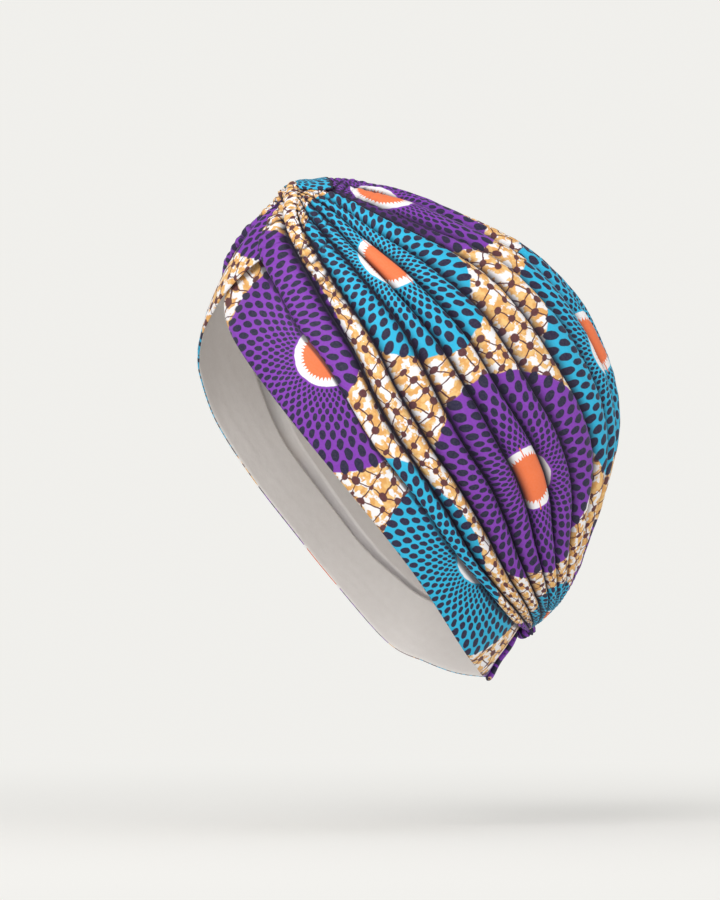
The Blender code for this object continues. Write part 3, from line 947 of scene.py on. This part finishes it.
def nape_tape(patch):
    """The bound edge that runs from the nape gather down the middle to the hem."""
    rows = np.linspace(0, 1, TAPE_ROWS)[:, None]
    start, end = (in_frame(np.array(a), np.array(c), np.array(0.0)) for a, c in TAPE_ENDS)
    length = np.linalg.norm(end - start)
    way = (end - start) / length
    out = np.array([0.0, -way[2], way[1]])
    out = out if out[1] > 0 else -out
    line = start + rows * length * way
    line = line + TAPE_RIPPLE * np.sin(rows * 7.0) * np.sin(rows * math.pi) * out
    line = line + TAPE_SWAY * np.sin(rows * 5.0 + 1.0) * LEFTWARD
    angle = np.linspace(0, 2 * math.pi, TAPE_SIDES, endpoint=False)[None, :]
    taper = np.sqrt(np.clip(1 - (2 * rows - 1) ** 8, 0.02, 1))
    beside = TAPE_HALF_WIDTH * np.cos(angle) * taper
    stand = TAPE_HALF_HEIGHT * np.sin(angle) * taper + TAPE_PROUD - TAPE_SINK * (1 - rows)
    points = line[:, None] + beside[..., None] * LEFTWARD + stand[..., None] * out
    faces = tube_faces(TAPE_ROWS, TAPE_SIDES)
    cloth = np.stack([np.broadcast_to(rows * length, beside.shape), beside], axis=-1)
    cloth = cloth.reshape(-1, 2) * patch[1] + patch[0]
    return points.reshape(-1, 3), faces, cloth, np.ones(beside.size)


# The colours of the cloth, as linear light, and the colour of the painted crease shade.
PURPLE = (0.192, 0.031, 0.38)
TEAL = (0.015, 0.41, 0.65)
SLATE = (0.0125, 0.0090, 0.0400)
ORANGE = (0.79, 0.172, 0.054)
WHITE = (0.82, 0.80, 0.81)
GOLD = (0.70, 0.352, 0.100)
PALE_GOLD = (0.79, 0.50, 0.19)
BROWN = (0.105, 0.028, 0.030)
# Painted shade: the near-black colour that creases and folds are darkened towards.
CREASE_SHADE = (0.012, 0.008, 0.022)
LINING = (0.74, 0.70, 0.68)
PALE_LINING = (0.80, 0.77, 0.75)
WORN = (0.75, 0.73, 0.76)

DISC_RADIUS = 16.6
FLAME_RADIUS = 11.9
FLAME_REACH = 2.0
FLAME_COUNT = 44
FLAME_POWER = 2.2
DOTS_ROUND = 48
FIRST_RING = 18.6
RING_RATIO = 1.1195
LAST_RING = 10
# Half the length and half the width of a dot, in rings and in steps round the ring, and where
# its edge fades.
DOT_LENGTH = 0.53
DOT_WIDTH = 0.29
DOT_EDGE = (1.18, 0.82)
# The linked dots of the ground lie in the cells of a turned lattice, in the middle part of each
# cell, and this share of the neighbours is linked.
LINK_PITCH = 7.8
LINK_TURN = math.radians(24.0)
LINK_INSET = 0.28
LINK_JITTER = 0.44
LINK_DOT_EDGE = (0.285, 0.225)
LINK_HALF_WIDTH = 0.042
LINKED_SHARE = 0.78
# Where the marbled gold and its paler parts begin and end in the noise that places them.
GOLD_EDGE = (0.455, 0.505)
PALE_EDGE = (0.42, 0.6)
# How far the printed edges blur, and the fine line on each side of a disc: its half width, and
# where it ends outside the disc.
FIELD_BLUR = 0.4
DISC_BLUR = 0.3
FLAME_BLUR = 0.25
TICK_WIDTH = (0.42, 0.2)
TICK_END = (1.9, 1.1)
# Where the cloth closes into a crease its colour is darkened as painted shade: where that painted
# shade begins and ends in the openness, how dark it gets there, and how faded all of it is.
CREASE_EDGE = (0.90, 0.22)
CREASE_SHARE = 0.98
WORN_SHARE = 0.03
# How far the printed lines stray, and the pitch of the ribs and loops of the knit.
PRINT_STRAY = 1.4
RIB_PITCH = 0.9
LOOP_PITCH = 0.8


class Value:
    """A value in a shader. Arithmetic with it makes math nodes."""

    def __init__(self, graph, socket):
        self.graph = graph
        self.socket = socket

    def math(self, operation, *others):
        inputs = dict(enumerate((self, *others)))
        return self.graph.value("Math", inputs, operation=operation)

    def __add__(self, other):
        return self.math("ADD", other)

    def __sub__(self, other):
        return self.math("SUBTRACT", other)

    def __mul__(self, other):
        return self.math("MULTIPLY", other)

    def __truediv__(self, other):
        return self.math("DIVIDE", other)

    def ramp(self, low, high):
        """0 at low and 1 at high, smooth between; low may be the larger."""
        inputs = {"Value": self, "From Min": low, "From Max": high}
        return self.graph.value("MapRange", inputs, "Result", interpolation_type="SMOOTHSTEP")


class Graph:
    """A new material and the nodes that are added to it."""

    def __init__(self, name):
        self.material = bpy.data.materials.new(name)
        self.material.use_nodes = True
        self.nodes = self.material.node_tree.nodes
        self.shader = self.nodes["Principled BSDF"]

    def fill(self, node, inputs):
        """Links each value to its input, and sets each plain number or colour on it."""
        for key, value in inputs.items():
            if isinstance(value, Value):
                self.material.node_tree.links.new(value.socket, node.inputs[key])
            elif isinstance(value, tuple):
                node.inputs[key].default_value = (*value, 1.0)
            else:
                node.inputs[key].default_value = value

    def values(self, kind, inputs, **settings):
        """All outputs of a new node."""
        node = self.nodes.new("ShaderNode" + kind)
        for name, setting in settings.items():
            setattr(node, name, setting)
        self.fill(node, inputs)
        return {output.name: Value(self, output) for output in node.outputs if output.enabled}

    def value(self, kind, inputs, output=None, **settings):
        """One output of a new node: the first, or the one with this name."""
        found = self.values(kind, inputs, **settings)
        return found[output or next(iter(found))]

    def mix(self, share, first, second):
        return self.value("Mix", {0: share, 6: first, 7: second}, data_type="RGBA")

    def vector(self, x, y, z=0.0):
        return self.value("CombineXYZ", {0: x, 1: y, 2: z})

    def noise(self, vector, scale, detail=2.0):
        inputs = {"Vector": vector, "Scale": scale, "Detail": detail}
        return self.value("TexNoise", inputs, "Fac")

    def white(self, x, y, z):
        """Random numbers for a lattice cell: a value and two of its colour channels."""
        inputs = {"Vector": self.vector(x, y, z)}
        found = self.values("TexWhiteNoise", inputs, noise_dimensions="3D")
        red, green, _ = self.values("SeparateColor", {0: found["Color"]}).values()
        return found["Value"], red, green


def squares(x, y):
    return x * x + y * y


def hypot(x, y):
    return squares(x, y).math("SQRT")


def cloth_places(g):
    """Cloth millimetres along and across, a little uneven as hand-printed cloth is."""
    source = g.value("UVMap", {}, uv_map="cloth")
    down, across, _ = g.values("SeparateXYZ", {0: source}).values()
    down = down * PERIOD
    across = across * PERIOD
    shake = g.noise(g.vector(down, across), 0.22)
    other = g.noise(g.vector(across, down, 40.0), 0.22)
    return (shake - 0.5) * PRINT_STRAY + down, (other - 0.5) * PRINT_STRAY + across


def ring_dots(radius, turn, parity):
    """The dots of every second ring, starting at ring number parity."""
    rings = (radius / FIRST_RING).math("LOGARITHM", math.e) / math.log(RING_RATIO)
    half = (rings - parity) * 0.5
    number = half.math("ROUND")
    off_ring = (half - number) * (2.0 / DOT_LENGTH)
    steps = turn * (DOTS_ROUND / (2 * math.pi)) + 0.5 * parity
    off_step = (steps - steps.math("ROUND")) * (1.0 / DOT_WIDTH)
    ring = number * 2.0 + parity
    allowed = ring.math("GREATER_THAN", -0.5) * ring.math("LESS_THAN", LAST_RING + 0.5)
    return squares(off_ring, off_step).ramp(*DOT_EDGE) * allowed


def line_between(x, y, start, end):
    """1 near the straight line from start to end."""
    dx = end[0] - start[0]
    dy = end[1] - start[1]
    px = x - start[0]
    py = y - start[1]
    share = (px * dx + py * dy) / squares(dx, dy)
    share = share.math("MAXIMUM", 0.0).math("MINIMUM", 1.0)
    away = hypot(px - share * dx, py - share * dy)
    return away.ramp(LINK_HALF_WIDTH * 1.3, LINK_HALF_WIDTH * 0.7)


def linked_dots(g, down, across):
    """Dots on a jittered lattice with thin lines between some neighbours."""
    c = math.cos(LINK_TURN) / LINK_PITCH
    s = math.sin(LINK_TURN) / LINK_PITCH
    x = down * c + across * s
    y = across * c - down * s
    cell_x = x.math("FLOOR")
    cell_y = y.math("FLOOR")

    def dot_of(step_x, step_y):
        cx = cell_x + step_x
        cy = cell_y + step_y
        value, red, green = g.white(cx, cy, 0.0)
        jittered = (red * LINK_JITTER + LINK_INSET, green * LINK_JITTER + LINK_INSET)
        return value, (cx + jittered[0], cy + jittered[1])

    value, here = dot_of(0, 0)
    off_x = (x - here[0]) * (value * 0.8 + 0.8)
    found = hypot(off_x, y - here[1]).ramp(*LINK_DOT_EDGE)
    for step_x, step_y in ((1, 0), (-1, 0), (0, 1), (0, -1)):
        _, there = dot_of(step_x, step_y)
        low_x = cell_x + min(step_x, 0)
        low_y = cell_y + min(step_y, 0)
        chance, _, _ = g.white(low_x, low_y, 5.0 + 4.0 * abs(step_y))
        line = line_between(x, y, here, there) * chance.math("LESS_THAN", LINKED_SHARE)
        found = found.math("MAXIMUM", line)
    return found


def print_colour(g, down, across):
    """The colour of the print at a place on the cloth."""
    column = (down / PERIOD).math("ROUND")
    row = (across / PERIOD).math("ROUND")
    dx = down - column * PERIOD
    dy = across - row * PERIOD
    radius = hypot(dx, dy)
    turn = dy.math("ARCTAN2", dx)
    odd = (column + row).math("FLOORED_MODULO", 2.0)

    flat = g.vector(down, across)
    gold = g.noise(flat, 0.20, 3.0).ramp(*GOLD_EDGE)
    pale = g.mix(g.noise(flat, 0.31).ramp(*PALE_EDGE), GOLD, PALE_GOLD)
    ground = g.mix(gold, WHITE, pale)
    ground = g.mix(linked_dots(g, down, across), ground, BROWN)

    inside = radius.ramp(MEDALLION_RADIUS + FIELD_BLUR, MEDALLION_RADIUS - FIELD_BLUR)
    colour = g.mix(inside, ground, g.mix(odd, PURPLE, TEAL))
    dots = ring_dots(radius, turn, 0).math("MAXIMUM", ring_dots(radius, turn, 1))
    colour = g.mix(dots, colour, SLATE)

    disc = radius.ramp(DISC_RADIUS + DISC_BLUR, DISC_RADIUS - DISC_BLUR)
    colour = g.mix(disc, colour, WHITE)
    teeth = (turn * (FLAME_COUNT / (2 * math.pi))).math("PINGPONG", 0.5)
    edge = (teeth * 2.0).math("POWER", FLAME_POWER) * FLAME_REACH + FLAME_RADIUS
    flame = (radius - edge).ramp(FLAME_BLUR, -FLAME_BLUR)
    tick = dy.math("ABSOLUTE").ramp(*TICK_WIDTH)
    tick = tick * radius.ramp(DISC_RADIUS + TICK_END[0], DISC_RADIUS + TICK_END[1])
    return g.mix(flame.math("MAXIMUM", tick), colour, ORANGE)


def knit_bump(g, down, across):
    """Fine ribs of the knit with small soft unevenness."""
    ribs = (across * (2 * math.pi / RIB_PITCH)).math("SINE")
    loops = (down * (2 * math.pi / LOOP_PITCH)).math("SINE")
    soft = g.noise(g.vector(down, across, 9.0), 0.25, 3.0)
    height = ribs * loops * 0.03 + soft * 0.5
    return g.value("Bump", {"Strength": 0.35, "Distance": 0.001, "Height": height})


def printed_knit():
    """The printed face of the cloth, with painted shade where it closes into a crease."""
    g = Graph("printed_knit")
    down, across = cloth_places(g)
    flat = g.vector(down, across)
    fade = g.noise(flat, 0.9, 3.0).ramp(0.2, 0.8)
    colour = g.mix(fade * WORN_SHARE, print_colour(g, down, across), WORN)
    # Painted shade: low openness darkens the print towards the crease shade colour.
    opened = g.value("Attribute", {}, "Fac", attribute_name="openness")
    colour = g.mix(opened.ramp(*CREASE_EDGE) * CREASE_SHARE, colour, CREASE_SHADE)
    g.fill(g.shader, {
        "Base Color": colour,
        "Roughness": g.noise(flat, 0.5) * 0.12 + 0.56,
        "Specular IOR Level": 0.25,
        "Sheen Weight": 0.04,
        "Sheen Roughness": 0.45,
        "Normal": knit_bump(g, down, across),
    })
    return g.material


def lining_knit():
    """The plain reverse of the cloth."""
    g = Graph("lining_knit")
    down, across = cloth_places(g)
    colour = g.mix(g.noise(g.vector(down, across), 0.2, 3.0), LINING, PALE_LINING)
    bump = knit_bump(g, down, across)
    g.fill(g.shader, {"Base Color": colour, "Roughness": 0.8, "Normal": bump})
    return g.material


def studio():
    """A round pale floor that rises into a wall, further off than the camera on every side."""
    profile = [(1.0, 0.0), (2.0, 0.0), (WALL_RADIUS - COVE_RADIUS, 0.0)]
    for angle in np.linspace(0, math.pi / 2, COVE_STEPS + 1)[1:]:
        out = WALL_RADIUS - COVE_RADIUS * (1 - math.sin(angle))
        profile.append((out, COVE_RADIUS * (1 - math.cos(angle))))
    profile.append((WALL_RADIUS, WALL_HEIGHT))
    turns = np.linspace(0, 2 * math.pi, WALL_SIDES, endpoint=False)
    points = [
        (out * math.cos(turn), out * math.sin(turn), FLOOR_Z + height)
        for out, height in profile
        for turn in turns
    ]
    rings = ring_faces(len(profile), WALL_SIDES)
    faces = [tuple(range(WALL_SIDES)), *((a, d, c, b) for a, b, c, d in rings)]
    mesh = bpy.data.meshes.new("backdrop")
    mesh.from_pydata(points, [], faces)
    mesh.shade_smooth()
    g = Graph("backdrop")
    g.fill(g.shader, {"Base Color": FLOOR_COLOUR, "Roughness": 0.9, "Specular IOR Level": 0.1})
    x, y, _ = g.values("SeparateXYZ", {0: g.value("TexCoord", {}, "Object")}).values()
    lit = Value(g, g.shader.outputs[0])
    glow = g.value("Emission", {"Color": WALL_COLOUR})
    both = g.value("MixShader", {0: hypot(x, y).ramp(*GLOW_REACH), 1: lit, 2: glow})
    g.fill(g.nodes["Material Output"], {"Surface": both})
    mesh.materials.append(g.material)
    placed("backdrop", mesh)


def looking(name, data, turn, height, distance):
    """A lamp or camera that looks at the object, turned from the camera's side in degrees."""
    angle = CAMERA_TURN + math.radians(turn)
    back = unit(np.array([math.sin(angle), -math.cos(angle), math.tan(math.radians(height))]))
    obj = placed(name, data)
    obj.location = Vector(TARGET * MM + distance * back)
    obj.rotation_euler = Vector(back).to_track_quat("Z", "Y").to_euler()
    return obj


def lights_and_camera():
    """Soft lamps, a pale world and the camera."""
    world = bpy.data.worlds.new("studio")
    bpy.context.scene.world = world
    world.use_nodes = True
    background = world.node_tree.nodes["Background"]
    background.inputs["Color"].default_value = WORLD_COLOUR
    background.inputs["Strength"].default_value = WORLD_STRENGTH
    for name, turn, height, distance, size, power in LAMPS:
        lamp = bpy.data.lights.new(name, "AREA")
        lamp.energy = power
        lamp.size = size
        looking(name, lamp, turn, height, distance)
    camera = bpy.data.cameras.new("camera")
    camera.sensor_width = SENSOR
    camera.lens = SENSOR * CAMERA_DISTANCE / PICTURE_HEIGHT
    camera.clip_end = CLIP_END
    bpy.context.scene.camera = looking("camera", camera, 0.0, 0.0, CAMERA_DISTANCE)


bpy.context.scene.view_settings.view_transform = "Standard"

knit = printed_knit()
cloths = [knit, lining_knit()]

crown_left = crown_half("crown_left_cloth", True, 1, cloths)
crown_right = crown_half("crown_right_cloth", False, 50, cloths)
band_left = band(
    "band_left_cloth", LEFT_BAND, True, LEFT_CENTRES, LEFT_LAY, FRONT_BULGE, 90, cloths
)
band_right = band(
    "band_right_cloth", RIGHT_BAND, False, RIGHT_CENTRES, RIGHT_LAY, 0.0, 120, cloths
)
front_parts = [gather(FRONT_GATHER, FRONT_PATCH, 7), knot_flap(), knot_roll()]
front = gather_piece("front_gather_cloth", front_parts, [knit])
nape_parts = [gather(NAPE_GATHER, NAPE_PATCH, 9), nape_tape(TAPE_PATCH)]
nape = gather_piece("nape_gather_cloth", nape_parts, [knit])

for piece, node, slot in (
    (front, "front_gather", "gather_cloth"),
    (nape, "nape_gather", "gather_cloth"),
    (crown_left, "crown_left", "crown_cloth"),
    (crown_right, "crown_right", "crown_cloth"),
    (band_left, "band_left", "band_cloth"),
    (band_right, "band_right", "band_cloth"),
):
    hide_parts(node)
    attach(piece, "root")

studio()
lights_and_camera()
